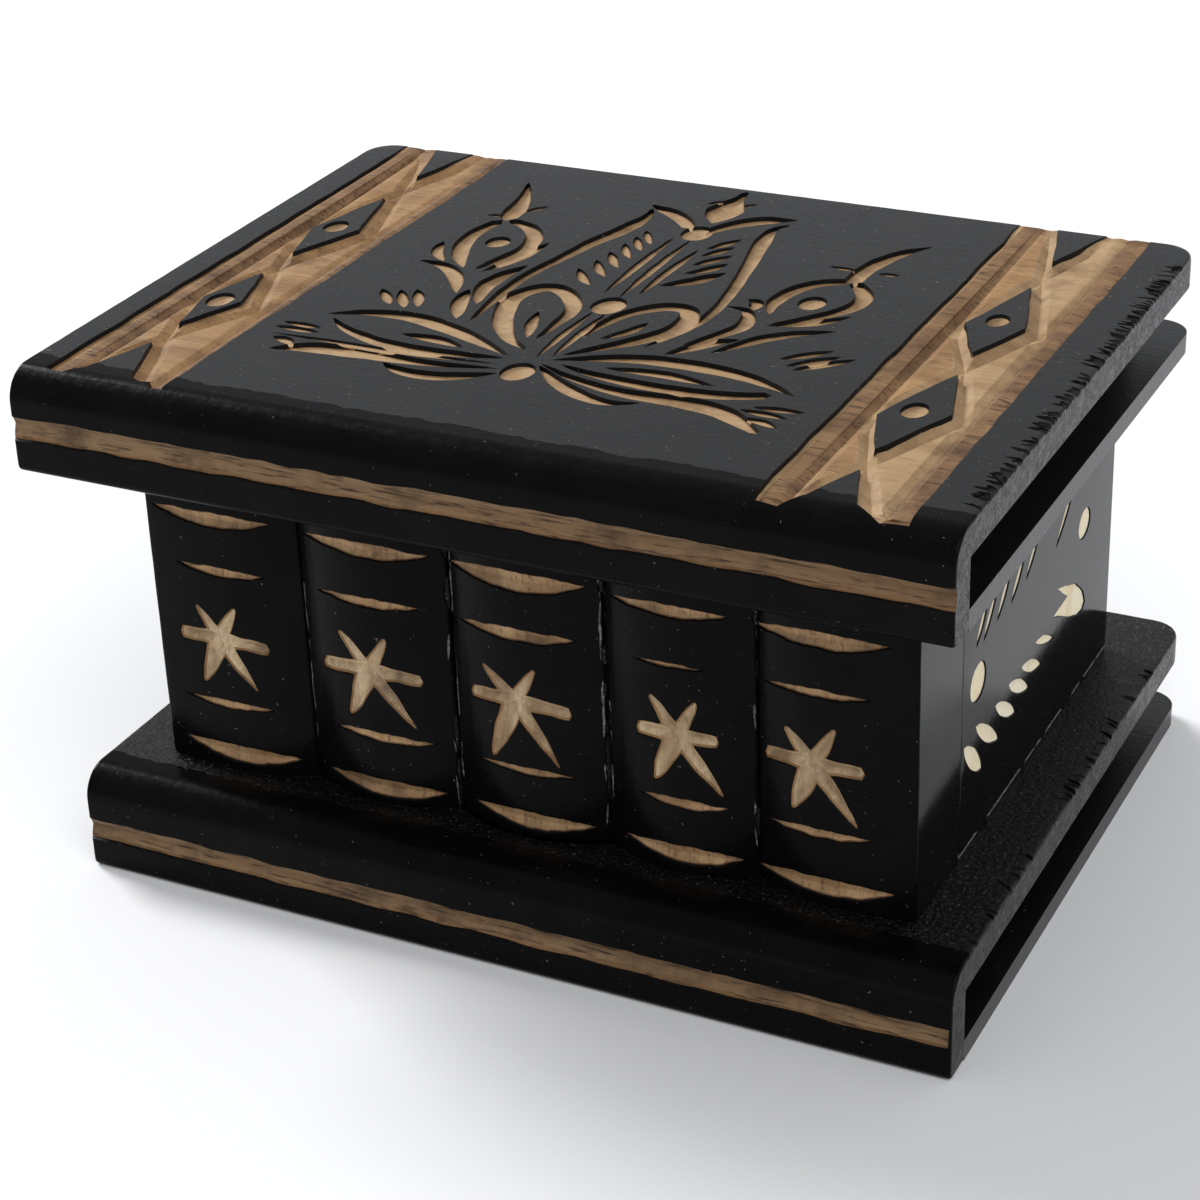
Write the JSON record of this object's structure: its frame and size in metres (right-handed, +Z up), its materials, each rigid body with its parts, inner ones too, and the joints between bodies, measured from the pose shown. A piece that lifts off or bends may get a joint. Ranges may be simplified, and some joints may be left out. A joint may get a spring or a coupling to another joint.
{
  "type": "book-shaped puzzle box",
  "caption": "Carved black-lacquered wooden puzzle box shaped as stacked books: hinged lid, sliding book spine over a keyhole, hidden key drawer with a latch, and a bolt lock.",
  "frame": {"origin": "centre of the overall footprint, on the surface that the box stands on", "axes": "+X along the front, to the right seen from the front; +Y to the back, where the lid hinges are; +Z up"},
  "size_m": [0.13, 0.1044, 0.0776],
  "materials": {
    "lacquered_wood": "gloss black lacquer, carved through to the wood",
    "natural_wood": "bare wood",
    "steel": "stamped steel",
    "brass": "satin"
  },
  "bodies": {
    "box": {"base_spine": "lacquered_wood", "base_top_board": "lacquered_wood", "base_lower_board": "lacquered_wood", "base_pages_front_left": "lacquered_wood", "base_pages_front_right": "lacquered_wood", "base_pages_left": "lacquered_wood", "base_pages_back_inner": "lacquered_wood", "base_pages_back_right": "lacquered_wood", "book_1": "lacquered_wood", "book_2": "lacquered_wood", "book_4": "lacquered_wood", "book_5": "lacquered_wood", "side_left": "lacquered_wood", "side_right": "lacquered_wood", "back_panel": "lacquered_wood", "base_pages_front_middle": "natural_wood", "lock_board": "natural_wood", "floor_panel": "natural_wood", "lock_case": "steel", "lock_cover": "steel", "lock_screws": "steel", "keyhole_plate": "brass", "hinge_leaf_left": "brass", "hinge_leaf_right": "brass", "hinge_pins": "brass", "hinge_screws_body": "brass"},
    "lid": {"lid_spine": "lacquered_wood", "lid_top_board": "lacquered_wood", "lid_lower_board": "lacquered_wood", "lid_pages_left": "lacquered_wood", "lid_pages_right": "lacquered_wood", "strike_plate": "steel", "strike_screws": "steel", "lid_leaf_left": "brass", "lid_leaf_right": "brass", "hinge_screws_lid": "brass"},
    "sliding_book": {"book_3": "lacquered_wood"},
    "drawer": {"drawer_tray": "lacquered_wood", "key": "brass"},
    "latch": {"latch_slider": "lacquered_wood"},
    "cam": {"lock_cam": "steel"},
    "bolt": {"lock_bolt": "steel"}
  },
  "joints": [
    {"name": "lid_hinge", "type": "hinge", "parent": "box", "child": "lid", "pos_m": [0, 0.0424, 0.062], "axis": [-1, 0, 0], "range_deg": [0, 100]},
    {"name": "book_slide", "type": "slide", "parent": "box", "child": "sliding_book", "axis": [0, 0, -1], "range_m": [0, 0.0115]},
    {"name": "drawer_slide", "type": "slide", "parent": "box", "child": "drawer", "axis": [1, 0, 0], "range_m": [0, 0.042]},
    {"name": "latch_slide", "type": "slide", "parent": "box", "child": "latch", "axis": [0, -1, 0], "range_m": [0, 0.003]},
    {"name": "cam_turn", "type": "hinge", "parent": "box", "child": "cam", "pos_m": [0.0008, -0.025, 0.0565], "axis": [0, -1, 0], "range_deg": [0, 90]},
    {"name": "bolt_slide", "type": "slide", "parent": "box", "child": "bolt", "axis": [0, 0, 1], "range_m": [0, 0.00339]}
  ],
  "couplings": [
    {"joint": "cam_turn", "follows": "bolt_slide", "rad_per_m": 462.5}
  ]
}
